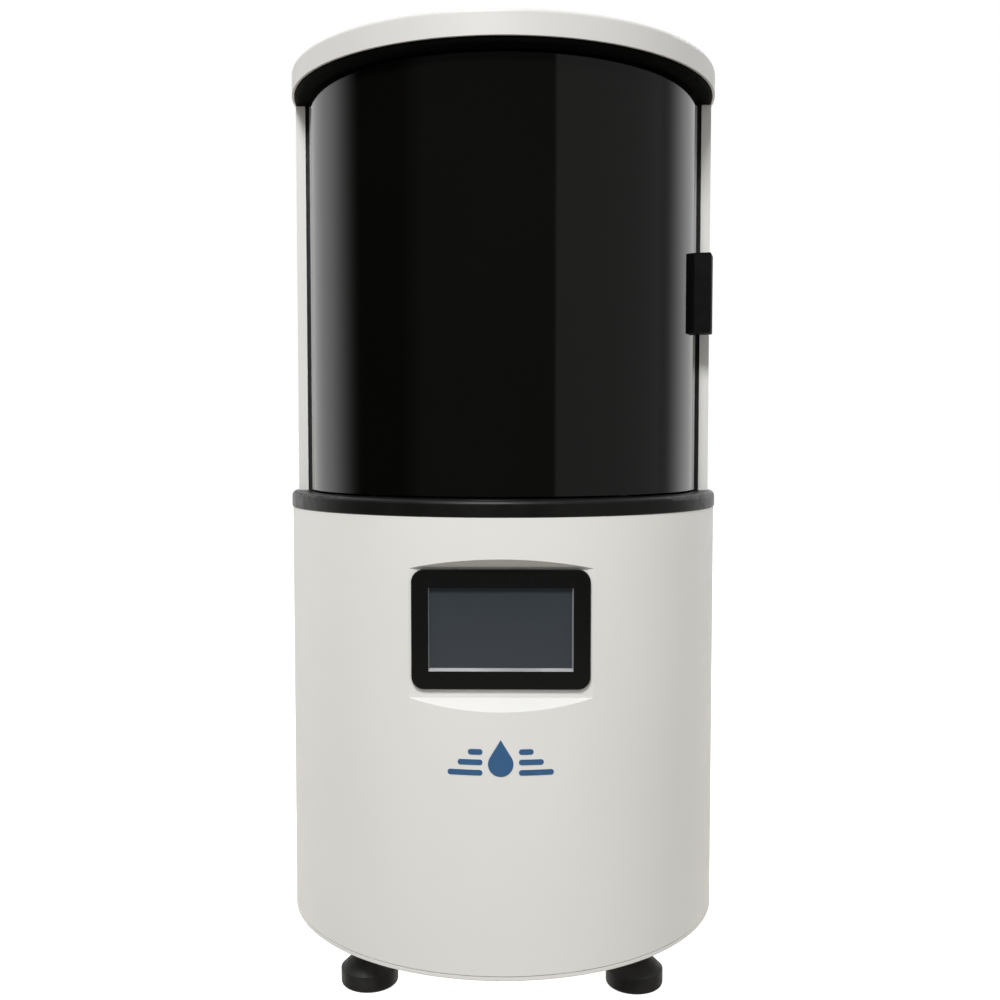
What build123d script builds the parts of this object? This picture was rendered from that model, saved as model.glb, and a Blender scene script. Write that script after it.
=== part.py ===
from build123d import *
from math import cos, pi, radians, sin, sqrt
import os

# Cylindrical desktop resin printer with a projector in its base. Millimetres, +Z up, front at -Y.
# The origin is on the floor, under the middle of the round body.

# ---------------------------------------------------------------- driving dimensions
BODY_R = 170.0  # outer radius of the lower body
SHEET = 2.0  # wall of the body shell
BASE_R = 170.2
BASE_Z = 34.0  # underside of the base plate, set by the levelling feet
BASE_T = 3.0
SHADOW_GAP = 0.6  # dark line between the base plate and the body shell
SEAT_R = 166.0  # raised middle of the base plate, which carries the shell
DECK_R = 170.5
DECK_Z = 355.0
DECK_T = 12.0
ROOF_R = 166.2
ROOF_Z = 671.5
ROOF_T = 4.3
CAP_R = 168.0
CAP_WALL = 2.5
CAP_TOP_T = 4.0
CAP_EDGE_R = 3.5
TOTAL_H = 694.3
BACK_R = 165.5  # outer radius of the rear chamber shell
BACK_SHEET = 1.5
DOOR_R = 155.0  # outer radius of the smoked door
DOOR_T = 4.0
DOOR_HALF_ANGLE = 82.0  # the door's edge, measured round from the front
FLANGE_Y = -18.0  # front plane of the rear shell's white flanges
FLANGE_INNER_X = 157.0
POST_XY = 99.4  # feet and frame posts stand on a square of this half side
VAT_Y = -30.0  # middle of the vat, window, platform and projector
SCREW_Y = 111.5
PLATFORM_Z = 530.0  # underside of the build platform at rest
RUN = 0.08  # radial running clearance

DECK_TOP = DECK_Z + DECK_T
SEAT_Z = BASE_Z + BASE_T + SHADOW_GAP
CAP_Z = ROOF_Z + ROOF_T
FOOT_CORNERS = [(x, y) for x in (-POST_XY, POST_XY) for y in (-POST_XY, POST_XY)]

os.makedirs("parts", exist_ok=True)


def write(piece, label):
    """Labels a finished piece and writes its STEP file."""
    piece.part.label = label
    export_step(piece.part, f"parts/{label}.step")


def on_circle(radius, angle, z=0.0):
    """A point at an angle round from the front, positive towards +X."""
    return (radius * sin(radians(angle)), -radius * cos(radians(angle)), z)


def front_plane(y, x=0.0, z=0.0):
    """A sketch plane facing the front (-Y), with its x along +X and its y along +Z."""
    return Plane(origin=(x, y, z), x_dir=(1, 0, 0), z_dir=(0, -1, 0))


def back_plane(y, x=0.0, z=0.0):
    """A sketch plane facing the back (+Y), with its x along -X and its y along +Z."""
    return Plane(origin=(x, y, z), x_dir=(-1, 0, 0), z_dir=(0, 1, 0))


# ---------------------------------------------------------------- levelling feet
PAD_R = 21.3
PAD_SIDE_H = 12.5
PAD_TOP_H = 24.5
STUD_R = 4.0
STUD_TOP = 58.0
NUT_Z = 27.6
for number, (foot_x, foot_y) in enumerate(FOOT_CORNERS, start=1):
    turn_axis = Axis((foot_x, foot_y, 0), (0, 0, 1))
    profile_plane = front_plane(foot_y, foot_x)
    with BuildPart() as levelling_foot:
        with BuildSketch(profile_plane):
            with BuildLine():
                Polyline((0, 0), (PAD_R - 3, 0))
                RadiusArc((PAD_R - 3, 0), (PAD_R, 3), -3)
                Polyline((PAD_R, 3), (PAD_R, PAD_SIDE_H), (10, PAD_TOP_H - 1), (9, PAD_TOP_H))
                Polyline((9, PAD_TOP_H), (0, PAD_TOP_H), (0, 0))
            make_face()
        revolve(axis=turn_axis)
        with BuildSketch(Plane.XY.offset(PAD_TOP_H - 2)):
            with Locations((foot_x, foot_y)):
                Circle(STUD_R)
        extrude(amount=STUD_TOP - PAD_TOP_H + 2)
        chamfer(levelling_foot.edges().sort_by(Axis.Z)[-1], 0.8)
    write(levelling_foot, f"levelling_foot_{number}")

with BuildPart() as lock_nuts:
    with BuildSketch(Plane.XY.offset(NUT_Z)):
        with Locations(*FOOT_CORNERS):
            RegularPolygon(7.5, 6)
            Circle(STUD_R + RUN, mode=Mode.SUBTRACT)
    extrude(amount=BASE_Z - NUT_Z)

# ---------------------------------------------------------------- base plate
with BuildPart() as base_plate:
    with BuildSketch(Plane.XY.offset(BASE_Z)):
        Circle(BASE_R)
    extrude(amount=BASE_T)
    chamfer(base_plate.edges().group_by(Axis.Z)[0], 0.8)
    with BuildSketch(Plane.XY.offset(BASE_Z + BASE_T)):
        Circle(SEAT_R)
    extrude(amount=SHADOW_GAP)
    with BuildSketch(Plane.XY.offset(BASE_Z)):
        with Locations(*FOOT_CORNERS):
            Circle(STUD_R + 0.2)
        with GridLocations(54, 9, 2, 7):
            SlotOverall(44, 4)
    extrude(amount=BASE_T + SHADOW_GAP, mode=Mode.SUBTRACT)
write(base_plate, "base_plate")

# ---------------------------------------------------------------- frame posts
POST_R = 6.0
with BuildPart() as frame_posts:
    with BuildSketch(Plane.XY.offset(SEAT_Z)):
        with Locations(*FOOT_CORNERS):
            Circle(POST_R)
    extrude(amount=DECK_Z - SEAT_Z)
    with BuildSketch(Plane.XY.offset(SEAT_Z)):
        with Locations(*FOOT_CORNERS):
            Circle(STUD_R + RUN)
    extrude(amount=26, mode=Mode.SUBTRACT)
    with BuildSketch(Plane.XY.offset(DECK_Z)):
        with Locations(*FOOT_CORNERS):
            Circle(2.0)
    extrude(amount=-16, mode=Mode.SUBTRACT)

# ---------------------------------------------------------------- lower body shell
# The front has a flat seat for the touch screen, with sloped faces above and below it that run
# out to the round wall.
POCKET_HALF_W = 63.7
POCKET_Y = -sqrt(BODY_R**2 - POCKET_HALF_W**2)  # plane of the flat seat
POCKET_BOTTOM_Z = 229.4
POCKET_TOP_Z = 319.4
POCKET_RISE = 7.4  # height of each sloped face where it meets the front of the wall
SHELL_Z = SEAT_Z
SCREEN_Z = 277.2
REAR_OPEN = (100.0, 212.0)
REAR_MID_Z = 181.0


def pocket_wedge(setback):
    """Side profile of the pocket, cut right across the wall; setback moves it inwards for the inner skin."""
    reach = BODY_R + 6
    slope = POCKET_RISE / (BODY_R + POCKET_Y)
    seat_y = POCKET_Y + setback
    top, bottom = POCKET_TOP_Z + setback * 0.6, POCKET_BOTTOM_Z - setback * 0.6
    run_out = slope * (reach + seat_y)
    return [(seat_y, bottom), (seat_y, top), (-reach, top + run_out), (-reach, bottom - run_out)]


def pocket_cutter(setback):
    with BuildPart() as cutter:
        with BuildSketch(Plane.YZ):
            with BuildLine():
                Polyline(*pocket_wedge(setback), close=True)
            make_face()
        extrude(amount=BODY_R, both=True)
    return cutter.part


with BuildPart() as shell_core:
    with BuildSketch(Plane.XY.offset(SHELL_Z)):
        Circle(BODY_R - SHEET)
    extrude(amount=DECK_Z - SHELL_Z)
    add(pocket_cutter(SHEET), mode=Mode.SUBTRACT)

with BuildPart() as lower_shell:
    with BuildSketch(Plane.XY.offset(SHELL_Z)):
        Circle(BODY_R)
    extrude(amount=DECK_Z - SHELL_Z)
    add(pocket_cutter(0), mode=Mode.SUBTRACT)
    add(shell_core.part, mode=Mode.SUBTRACT)
    with BuildSketch(front_plane(POCKET_Y + 8, 0, SCREEN_Z)):
        Rectangle(108, 69.6)
    extrude(amount=12, mode=Mode.SUBTRACT)
    with BuildSketch(back_plane(BODY_R - 25, 0, REAR_MID_Z)):
        RectangleRounded(*REAR_OPEN, 6)
    extrude(amount=30, mode=Mode.SUBTRACT)
    for side in (-1, 1):
        with BuildSketch(Plane(origin=(side * 120, 0, 0), x_dir=(0, side, 0), z_dir=(side, 0, 0))):
            with Locations((40 * side, 320)):
                with GridLocations(10, 0, 7, 1):
                    SlotOverall(26, 4, rotation=90)
        extrude(amount=60, mode=Mode.SUBTRACT)
write(lower_shell, "lower_shell")

# ---------------------------------------------------------------- touch screen
BEZEL_W, BEZEL_H, BEZEL_T = 123.6, 83.4, 3.0
OPEN_W, OPEN_H = 100.4, 58.4  # the bezel's window
PANEL_W, PANEL_H, PANEL_T = 105.6, 67.2, 3.8
GLASS_W, GLASS_H, GLASS_T = 100.0, 58.0, 0.8
GLASS_SETBACK = 0.4  # the glass lies this far behind the bezel's back
GLASS_BACK_Y = POCKET_Y + GLASS_SETBACK + GLASS_T
with BuildPart() as screen_bezel:
    with BuildSketch(front_plane(POCKET_Y, 0, SCREEN_Z)):
        RectangleRounded(BEZEL_W, BEZEL_H, 9)
        RectangleRounded(OPEN_W, OPEN_H, 0.8, mode=Mode.SUBTRACT)
    extrude(amount=BEZEL_T)
    front_edges = screen_bezel.faces().sort_by(Axis.Y)[0].outer_wire().edges()
    chamfer(front_edges, 0.5)
write(screen_bezel, "screen_bezel")

with BuildPart() as lcd_frame:
    with BuildSketch(front_plane(POCKET_Y + PANEL_T + 0.2, 0, SCREEN_Z)):
        Rectangle(PANEL_W, PANEL_H)
    extrude(amount=PANEL_T)
    with BuildSketch(front_plane(GLASS_BACK_Y, 0, SCREEN_Z)):
        Rectangle(GLASS_W + 0.2, GLASS_H + 0.2)
    extrude(amount=2, mode=Mode.SUBTRACT)
write(lcd_frame, "lcd_frame")

with BuildPart() as lcd_glass:
    with BuildSketch(front_plane(GLASS_BACK_Y, 0, SCREEN_Z)):
        Rectangle(GLASS_W, GLASS_H)
    extrude(amount=GLASS_T)
write(lcd_glass, "lcd_glass")

DISPLAY_HOLES = (97.0, 59.0)
with BuildPart() as display_board:
    with BuildSketch(front_plane(POCKET_Y + 9.6, 0, SCREEN_Z)):
        Rectangle(104, 66)
        with GridLocations(*DISPLAY_HOLES, 2, 2):
            Circle(1.6, mode=Mode.SUBTRACT)
    extrude(amount=1.6)
    with BuildSketch(front_plane(POCKET_Y + 11.6, 0, SCREEN_Z)):
        with Locations((-20, 5)):
            Rectangle(16, 16)
        with Locations((14, 12), (14, -8)):
            Rectangle(12, 8)
        with Locations((0, -26)):
            Rectangle(34, 5)
    extrude(amount=2)

with BuildPart() as display_spacers:
    with BuildSketch(front_plane(POCKET_Y + 8, 0, SCREEN_Z)):
        with GridLocations(*DISPLAY_HOLES, 2, 2):
            Circle(3)
    extrude(amount=4)

# ---------------------------------------------------------------- badge
# A plain generic mark of a drop over three printed layers, standing a little proud of the wall.
BADGE_Z = 189.0
BADGE_T = 0.25
with BuildPart() as badge:
    with BuildSketch(front_plane(-BODY_R + 12, 0, BADGE_Z)):
        with BuildLine():
            Line((0, 14), (7.6, 1.5))
            ThreePointArc((7.6, 1.5), (0, -11.5), (-7.6, 1.5))
            Line((-7.6, 1.5), (0, 14))
        make_face()
        for row, length in enumerate((24.0, 17.0, 10.0)):
            for side in (-1, 1):
                with Locations((side * (12.5 + length / 2), -8.8 + row * 7.2)):
                    RectangleRounded(length, 3.8, 1.85)
    extrude(amount=20)
    with BuildSketch(Plane.XY.offset(BADGE_Z - 30)):
        Circle(BODY_R + BADGE_T)
        Circle(BODY_R, mode=Mode.SUBTRACT)
    extrude(amount=60, mode=Mode.INTERSECT)
write(badge, "badge")

# ---------------------------------------------------------------- deck between body and chamber
PIVOT = on_circle(148.0, -80.5)
WINDOW_OPEN = (150.0, 100.0)
WINDOW_GLASS = (157.6, 107.6)
WINDOW_T = 4.0
BEARING_R, BEARING_BORE, BEARING_T = 11.0, 4.0, 7.0
BUSH_R, PIN_R = 4.5, 2.5
with BuildPart() as deck_plate:
    with BuildSketch(Plane.XY.offset(DECK_Z)):
        Circle(DECK_R)
    extrude(amount=DECK_T)
    fillet(deck_plate.edges().group_by(Axis.Z)[-1], 3.5)
    chamfer(deck_plate.edges().group_by(Axis.Z)[0], 0.6)
    with BuildSketch(Plane.XY.offset(DECK_Z)):
        with Locations((0, VAT_Y)):
            Rectangle(*WINDOW_OPEN)
        with Locations((0, SCREW_Y)):
            Circle(7)
        with Locations(*FOOT_CORNERS):
            Circle(2.2)
    extrude(amount=DECK_T, mode=Mode.SUBTRACT)
    with BuildSketch(Plane.XY.offset(DECK_TOP)):
        with Locations((0, VAT_Y)):
            Rectangle(WINDOW_GLASS[0] + 0.4, WINDOW_GLASS[1] + 0.4)
    extrude(amount=-WINDOW_T, mode=Mode.SUBTRACT)
    with BuildSketch(Plane.XY.offset(DECK_TOP)):
        with Locations((0, SCREW_Y)):
            Circle(BEARING_R)
    extrude(amount=-BEARING_T, mode=Mode.SUBTRACT)
    with BuildSketch(Plane.XY.offset(DECK_TOP)):
        with Locations(PIVOT[:2]):
            Circle(BUSH_R)
    extrude(amount=-8, mode=Mode.SUBTRACT)
    with Locations(*[(x, y, DECK_TOP) for x, y in FOOT_CORNERS]):
        CounterSinkHole(2.2, 4.2, depth=DECK_T)
write(deck_plate, "deck_plate")

with BuildPart() as deck_screws:
    with BuildSketch(Plane.XY.offset(DECK_TOP - 26)):
        with Locations(*FOOT_CORNERS):
            Circle(1.95)
    extrude(amount=26)
    for post_x, post_y in FOOT_CORNERS:
        with Locations((post_x, post_y, DECK_TOP - 1.5)):
            Cone(1.9, 3.4, 1.8)
    with BuildSketch(Plane.XY.offset(DECK_TOP - 0.4)):
        with Locations(*FOOT_CORNERS):
            RegularPolygon(1.4, 6)
    extrude(amount=-1.6, mode=Mode.SUBTRACT)

with BuildPart() as window_glass:
    with BuildSketch(Plane.XY.offset(DECK_TOP - WINDOW_T)):
        with Locations((0, VAT_Y)):
            RectangleRounded(*WINDOW_GLASS, 1)
    extrude(amount=WINDOW_T)
write(window_glass, "window_glass")

# ---------------------------------------------------------------- rear chamber shell
RETURN_DEPTH = 13.0
with BuildPart() as back_shell:
    with BuildSketch(Plane.XY.offset(DECK_TOP)):
        Circle(BACK_R)
        Circle(BACK_R - BACK_SHEET, mode=Mode.SUBTRACT)
        with Locations((0, FLANGE_Y - 100)):
            Rectangle(2 * BACK_R + 2, 200, mode=Mode.SUBTRACT)
        for side in (-1, 1):
            with Locations((side * (FLANGE_INNER_X + 3.7), FLANGE_Y + BACK_SHEET / 2)):
                Rectangle(7.4, BACK_SHEET)
            with Locations((side * (FLANGE_INNER_X + BACK_SHEET / 2), FLANGE_Y + RETURN_DEPTH / 2)):
                Rectangle(BACK_SHEET, RETURN_DEPTH)
    extrude(amount=ROOF_Z - DECK_TOP)
    with BuildSketch(back_plane(100, 0, 625)):
        with GridLocations(40, 9, 3, 5):
            SlotOverall(34, 4)
    extrude(amount=80, mode=Mode.SUBTRACT)
write(back_shell, "back_shell")

with BuildPart() as shell_brackets:
    for angle in (110, 150, 210, 250):
        bracket_plane = Plane(
            origin=on_circle(BACK_R - BACK_SHEET - 0.25, angle, DECK_TOP),
            x_dir=(cos(radians(angle)), sin(radians(angle)), 0),
            z_dir=(0, 0, 1),
        )
        with BuildSketch(bracket_plane):
            with Locations((0, 9)):
                Rectangle(18, 14)
            with Locations((0, 9)):
                Circle(2.1, mode=Mode.SUBTRACT)
        extrude(amount=2)
        with BuildSketch(bracket_plane):
            with Locations((0, 1.8)):
                Rectangle(18, 2)
        extrude(amount=16)

SEAL_X = (150.6, FLANGE_INNER_X)
with BuildPart() as side_seals:
    for side in (-1, 1):
        with BuildSketch(Plane.XY.offset(DECK_TOP)):
            with Locations((side * sum(SEAL_X) / 2, FLANGE_Y + 6.5)):
                Rectangle(SEAL_X[1] - SEAL_X[0], 8)
                with Locations((-side * 1.2, 0)):
                    Circle(1.6, mode=Mode.SUBTRACT)
        extrude(amount=ROOF_Z - DECK_TOP)
write(side_seals, "side_seals")

# ---------------------------------------------------------------- roof and cap
SPIGOT_R = CAP_R - CAP_WALL - 0.4  # a low ring on the roof that centres the cap
SPIGOT_H = 2.5
with BuildPart() as roof_plate:
    with BuildSketch(Plane.XY.offset(ROOF_Z)):
        Circle(ROOF_R)
    extrude(amount=ROOF_T)
    fillet(roof_plate.edges().group_by(Axis.Z)[0], ROOF_T - 0.6)
    with BuildSketch(Plane.XY.offset(CAP_Z)):
        Circle(SPIGOT_R)
        Circle(SPIGOT_R - 3, mode=Mode.SUBTRACT)
    extrude(amount=SPIGOT_H)
    with BuildSketch(Plane.XY.offset(ROOF_Z)):
        with Locations(PIVOT[:2]):
            Circle(BUSH_R)
    extrude(amount=ROOF_T, mode=Mode.SUBTRACT)
write(roof_plate, "roof_plate")

with BuildPart() as top_cap:
    with BuildSketch(Plane.XY.offset(CAP_Z)):
        Circle(CAP_R)
    extrude(amount=TOTAL_H - CAP_Z)
    fillet(top_cap.edges().group_by(Axis.Z)[-1], CAP_EDGE_R)
    with BuildSketch(Plane.XY.offset(CAP_Z)):
        Circle(CAP_R - CAP_WALL)
    extrude(amount=TOTAL_H - CAP_Z - CAP_TOP_T, mode=Mode.SUBTRACT)
write(top_cap, "top_cap")

# ---------------------------------------------------------------- door
DOOR_Z0, DOOR_Z1 = DECK_TOP + 1.5, ROOF_Z - 1.5


def sector(radius_out, radius_in, from_angle, to_angle):
    """Ring sector with its angles round from the front, positive towards +X."""
    with BuildSketch() as ring_sector:
        with BuildLine():
            outer = CenterArc((0, 0), radius_out, from_angle - 90, to_angle - from_angle)
            inner = CenterArc((0, 0), radius_in, from_angle - 90, to_angle - from_angle)
            Line(outer @ 0, inner @ 0)
            Line(outer @ 1, inner @ 1)
        make_face()
    return ring_sector.sketch


with BuildPart() as door_panel:
    with BuildSketch(Plane.XY.offset(DOOR_Z0)):
        add(sector(DOOR_R, DOOR_R - DOOR_T, -DOOR_HALF_ANGLE, DOOR_HALF_ANGLE))
    extrude(amount=DOOR_Z1 - DOOR_Z0)
write(door_panel, "door_panel")

STILE_IN = 144.5
PIN_DEPTH = 18.0
with BuildPart() as door_stiles:
    with BuildSketch(Plane.XY.offset(DOOR_Z0)):
        add(sector(DOOR_R - DOOR_T - 0.02, STILE_IN, -DOOR_HALF_ANGLE, -76))
        add(sector(DOOR_R - DOOR_T - 0.02, STILE_IN, 78.5, DOOR_HALF_ANGLE))
    extrude(amount=DOOR_Z1 - DOOR_Z0)
    for z, depth in ((DOOR_Z0, PIN_DEPTH), (DOOR_Z1, -PIN_DEPTH)):
        with BuildSketch(Plane.XY.offset(z)):
            with Locations(PIVOT[:2]):
                Circle(PIN_R)
        extrude(amount=depth, mode=Mode.SUBTRACT)
write(door_stiles, "door_stiles")

with BuildPart() as hinge_pins:
    for z in (DOOR_Z0 + PIN_DEPTH, DOOR_Z1 + 6):
        with BuildSketch(Plane.XY.offset(z)):
            with Locations(PIVOT[:2]):
                Circle(PIN_R)
        extrude(amount=-PIN_DEPTH - 6)
write(hinge_pins, "door_hinge_pins")

with BuildPart() as hinge_bushes:
    for z, height in ((DECK_TOP - 8, 8.5), (ROOF_Z - 0.5, ROOF_T + 0.5)):
        with BuildSketch(Plane.XY.offset(z)):
            with Locations(PIVOT[:2]):
                Circle(BUSH_R)
                Circle(PIN_R + RUN, mode=Mode.SUBTRACT)
        extrude(amount=height)
write(hinge_bushes, "door_hinge_bushes")

HANDLE_ANGLE = 76.0
HANDLE_OUT_R = 167.6
HANDLE_W = 18.0
HANDLE_Z0, HANDLE_Z1 = 490.0, 551.5
handle_plane = Plane(
    origin=on_circle(DOOR_R - 3, HANDLE_ANGLE, HANDLE_Z0),
    x_dir=(sin(radians(HANDLE_ANGLE)), -cos(radians(HANDLE_ANGLE)), 0),
    z_dir=(0, 0, 1),
)
with BuildPart() as door_handle:
    with BuildSketch(handle_plane):
        with Locations(((HANDLE_OUT_R - DOOR_R + 3) / 2, 0)):
            Rectangle(HANDLE_OUT_R - DOOR_R + 3, HANDLE_W)
    extrude(amount=HANDLE_Z1 - HANDLE_Z0)
    outer_edges = door_handle.faces().sort_by(Axis.X)[-1].edges()
    fillet(outer_edges, 1.2)
    with BuildSketch(Plane.XY.offset(HANDLE_Z0)):
        Circle(DOOR_R + 0.02)
    extrude(amount=HANDLE_Z1 - HANDLE_Z0, mode=Mode.SUBTRACT)
write(door_handle, "door_handle")

with BuildPart() as handle_screws:
    for z in (HANDLE_Z0 + 14, HANDLE_Z1 - 14):
        screw_plane = Plane(
            origin=on_circle(DOOR_R - DOOR_T - 0.1, HANDLE_ANGLE, z),
            x_dir=(0, 0, 1),
            z_dir=(-sin(radians(HANDLE_ANGLE)), cos(radians(HANDLE_ANGLE)), 0),
        )
        with BuildSketch(screw_plane):
            Circle(3.6)
        extrude(amount=2.2)
        with BuildSketch(screw_plane.offset(2.2)):
            RegularPolygon(1.5, 6)
        extrude(amount=-1.4, mode=Mode.SUBTRACT)
write(handle_screws, "door_handle_screws")

with BuildPart() as catch_magnets:
    for z in (DOOR_Z0 + 40, DOOR_Z1 - 40):
        with BuildSketch(Plane.XY.offset(z - 10)):
            with Locations((SEAL_X[0] - 4, FLANGE_Y + 5.5)):
                Rectangle(8, 12)
        extrude(amount=20)

# ---------------------------------------------------------------- Z axis
COLUMN_FRONT_Y = 118.0
COLUMN_TOP = 655.0
RAIL_X = 24.0
RAIL_Z0, RAIL_Z1 = 376.0, 640.0
with BuildPart() as column:
    with BuildSketch(Plane.XY.offset(DECK_TOP)):
        with Locations((0, COLUMN_FRONT_Y + 11)):
            RectangleRounded(72, 22, 1.5)
            with GridLocations(33, 0, 2, 1):
                RectangleRounded(26, 15, 2, mode=Mode.SUBTRACT)
            with GridLocations(72, 0, 2, 1):
                Rectangle(6, 6, mode=Mode.SUBTRACT)
    extrude(amount=COLUMN_TOP - DECK_TOP)
write(column, "z_column")

with BuildPart() as column_brackets:
    for side in (-1, 1):
        with BuildSketch(front_plane(COLUMN_FRONT_Y + 18, side * 36.2, DECK_TOP)):
            with BuildLine():
                Polyline(
                    (0, 0), (side * 26, 0), (side * 26, 4), (side * 10, 6), (side * 4, 14),
                    (side * 4, 30), (0, 30),
                    close=True,
                )
            make_face()
        extrude(amount=14)

with BuildPart() as linear_rails:
    with BuildSketch(front_plane(COLUMN_FRONT_Y, 0, (RAIL_Z0 + RAIL_Z1) / 2)):
        with GridLocations(2 * RAIL_X, 0, 2, 1):
            Rectangle(12, RAIL_Z1 - RAIL_Z0)
    extrude(amount=8)
    with BuildSketch(front_plane(COLUMN_FRONT_Y - 8, 0, (RAIL_Z0 + RAIL_Z1) / 2)):
        with GridLocations(2 * RAIL_X, 30, 2, 9):
            Circle(3)
    extrude(amount=-4.5, mode=Mode.SUBTRACT)
write(linear_rails, "linear_rails")

MOTOR_TOP = 312.0
MOTOR_W, MOTOR_L, MOTOR_HOLES = 42.3, 48.0, 31.0  # a 42 mm stepper motor
COUPLER_Z0, COUPLER_MID, COUPLER_Z1 = 318.0, 330.0, 345.0
SCREW_TOP = 652.0
TOP_BEARING_Z, TOP_BUSH_R = 643.5, 6.0
with BuildPart() as lead_screw:
    with BuildSketch(Plane.XY.offset(COUPLER_MID)):
        with Locations((0, SCREW_Y)):
            Circle(BEARING_BORE)
    extrude(amount=SCREW_TOP - COUPLER_MID)
    chamfer(lead_screw.edges().sort_by(Axis.Z)[-1], 0.6)
    with BuildSketch(Plane.XY.offset(MOTOR_TOP - 10)):
        with Locations((0, SCREW_Y)):
            Circle(2.5)
    extrude(amount=COUPLER_MID - 0.5 - MOTOR_TOP + 10)
write(lead_screw, "lead_screw")

with BuildPart() as screw_bearings:
    for z in (DECK_TOP - BEARING_T, TOP_BEARING_Z):
        with BuildSketch(Plane.XY.offset(z)):
            with Locations((0, SCREW_Y)):
                Circle(BEARING_R if z < DECK_TOP else TOP_BUSH_R)
                Circle(BEARING_BORE + RUN, mode=Mode.SUBTRACT)
        extrude(amount=BEARING_T if z < DECK_TOP else 8)
write(screw_bearings, "screw_bearings")

with BuildPart() as bearing_block:
    with BuildSketch(Plane.XY.offset(TOP_BEARING_Z)):
        with Locations((0, SCREW_Y)):
            Rectangle(34, 13)
            Circle(TOP_BUSH_R, mode=Mode.SUBTRACT)
    extrude(amount=10)

with BuildPart() as shaft_coupler:
    with BuildSketch(Plane.XY.offset(COUPLER_Z0)):
        with Locations((0, SCREW_Y)):
            Circle(10)
    extrude(amount=COUPLER_Z1 - COUPLER_Z0)
    chamfer(shaft_coupler.edges().group_by(Axis.Z)[-1] + shaft_coupler.edges().group_by(Axis.Z)[0], 0.8)
    for slit in range(3):
        with BuildSketch(Plane.XY.offset(COUPLER_MID - 4.5 + 4 * slit)):
            with Locations((0, SCREW_Y)):
                Circle(11)
                Circle(7, mode=Mode.SUBTRACT)
        extrude(amount=1.4, mode=Mode.SUBTRACT)
    for z0, z1, bore in ((COUPLER_Z0, COUPLER_MID, 2.5), (COUPLER_MID, COUPLER_Z1, BEARING_BORE)):
        with BuildSketch(Plane.XY.offset(z0)):
            with Locations((0, SCREW_Y)):
                Circle(bore)
        extrude(amount=z1 - z0, mode=Mode.SUBTRACT)
write(shaft_coupler, "shaft_coupler")

with BuildPart() as z_motor:
    with BuildSketch(Plane.XY.offset(MOTOR_TOP - MOTOR_L)):
        with Locations((0, SCREW_Y)):
            Rectangle(MOTOR_W, MOTOR_W)
    extrude(amount=MOTOR_L - 2)
    chamfer(z_motor.edges().filter_by(Axis.Z), 3.5)
    with BuildSketch(Plane.XY.offset(MOTOR_TOP - 2)):
        with Locations((0, SCREW_Y)):
            Circle(11)
    extrude(amount=2)
    for z in (MOTOR_TOP - 12, MOTOR_TOP - 38):
        with BuildSketch(Plane.XY.offset(z)):
            with Locations((0, SCREW_Y)):
                Rectangle(MOTOR_W + 2, MOTOR_W + 2)
                Rectangle(MOTOR_W - 1, MOTOR_W - 1, mode=Mode.SUBTRACT)
        extrude(amount=0.8, mode=Mode.SUBTRACT)
    with BuildSketch(Plane.XY.offset(MOTOR_TOP)):
        with Locations((0, SCREW_Y)):
            Circle(2.5 + RUN)
    extrude(amount=-11, mode=Mode.SUBTRACT)
write(z_motor, "z_motor")

with BuildPart() as motor_standoffs:
    with BuildSketch(Plane.XY.offset(MOTOR_TOP - 2)):
        with Locations((0, SCREW_Y)):
            with GridLocations(MOTOR_HOLES, MOTOR_HOLES, 2, 2):
                Circle(3.5)
    extrude(amount=DECK_Z - MOTOR_TOP + 2)

LIMIT_X, LIMIT_Y = 44.0, 104.0
with BuildPart() as z_limit_switch:
    with BuildSketch(Plane.XY.offset(DECK_TOP)):
        with Locations((LIMIT_X, LIMIT_Y)):
            Rectangle(14, 12)
    extrude(amount=9)
    with BuildSketch(Plane.XY.offset(DECK_TOP + 9)):
        with Locations((LIMIT_X - 5, LIMIT_Y - 2)):
            Rectangle(3, 3)
    extrude(amount=4)
write(z_limit_switch, "z_limit_switch")

with BuildPart() as mounting_brackets:
    add(shell_brackets.part)
    add(column_brackets.part)
    add(bearing_block.part)
    add(catch_magnets.part)
write(mounting_brackets, "mounting_brackets")

# ---------------------------------------------------------------- Z carriage and arm
PLATE_Y0, PLATE_Y1 = 99.0, 105.0
CARRIAGE_Z0, CARRIAGE_Z1 = PLATFORM_Z + 10, PLATFORM_Z + 78
CARRIAGE_MID = (CARRIAGE_Z0 + CARRIAGE_Z1) / 2
with BuildPart() as rail_blocks:
    with BuildSketch(Plane.XY.offset(CARRIAGE_MID - 24)):
        with GridLocations(2 * RAIL_X, 0, 2, 1):
            with Locations((0, 110.8)):
                Rectangle(26, 11.6)
            with Locations((0, 114)):
                Rectangle(12.4, 8.6, mode=Mode.SUBTRACT)
    extrude(amount=48)
write(rail_blocks, "rail_blocks")

with BuildPart() as carriage_plate:
    with BuildSketch(front_plane(PLATE_Y1, 0, CARRIAGE_MID)):
        RectangleRounded(82, CARRIAGE_Z1 - CARRIAGE_Z0, 5)
    extrude(amount=PLATE_Y1 - PLATE_Y0)
    with BuildSketch(front_plane(PLATE_Y0, 0, CARRIAGE_MID)):
        with GridLocations(58, 40, 2, 2):
            Circle(3.4)
    extrude(amount=-3.4, mode=Mode.SUBTRACT)
write(carriage_plate, "carriage_plate")

with BuildPart() as carriage_screws:
    with BuildSketch(front_plane(PLATE_Y0 + 3.3, 0, CARRIAGE_MID)):
        with GridLocations(58, 40, 2, 2):
            Circle(3.0)
    extrude(amount=2.8)
    with BuildSketch(front_plane(PLATE_Y0 + 0.5, 0, CARRIAGE_MID)):
        with GridLocations(58, 40, 2, 2):
            RegularPolygon(1.5, 6)
    extrude(amount=-1.6, mode=Mode.SUBTRACT)

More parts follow.
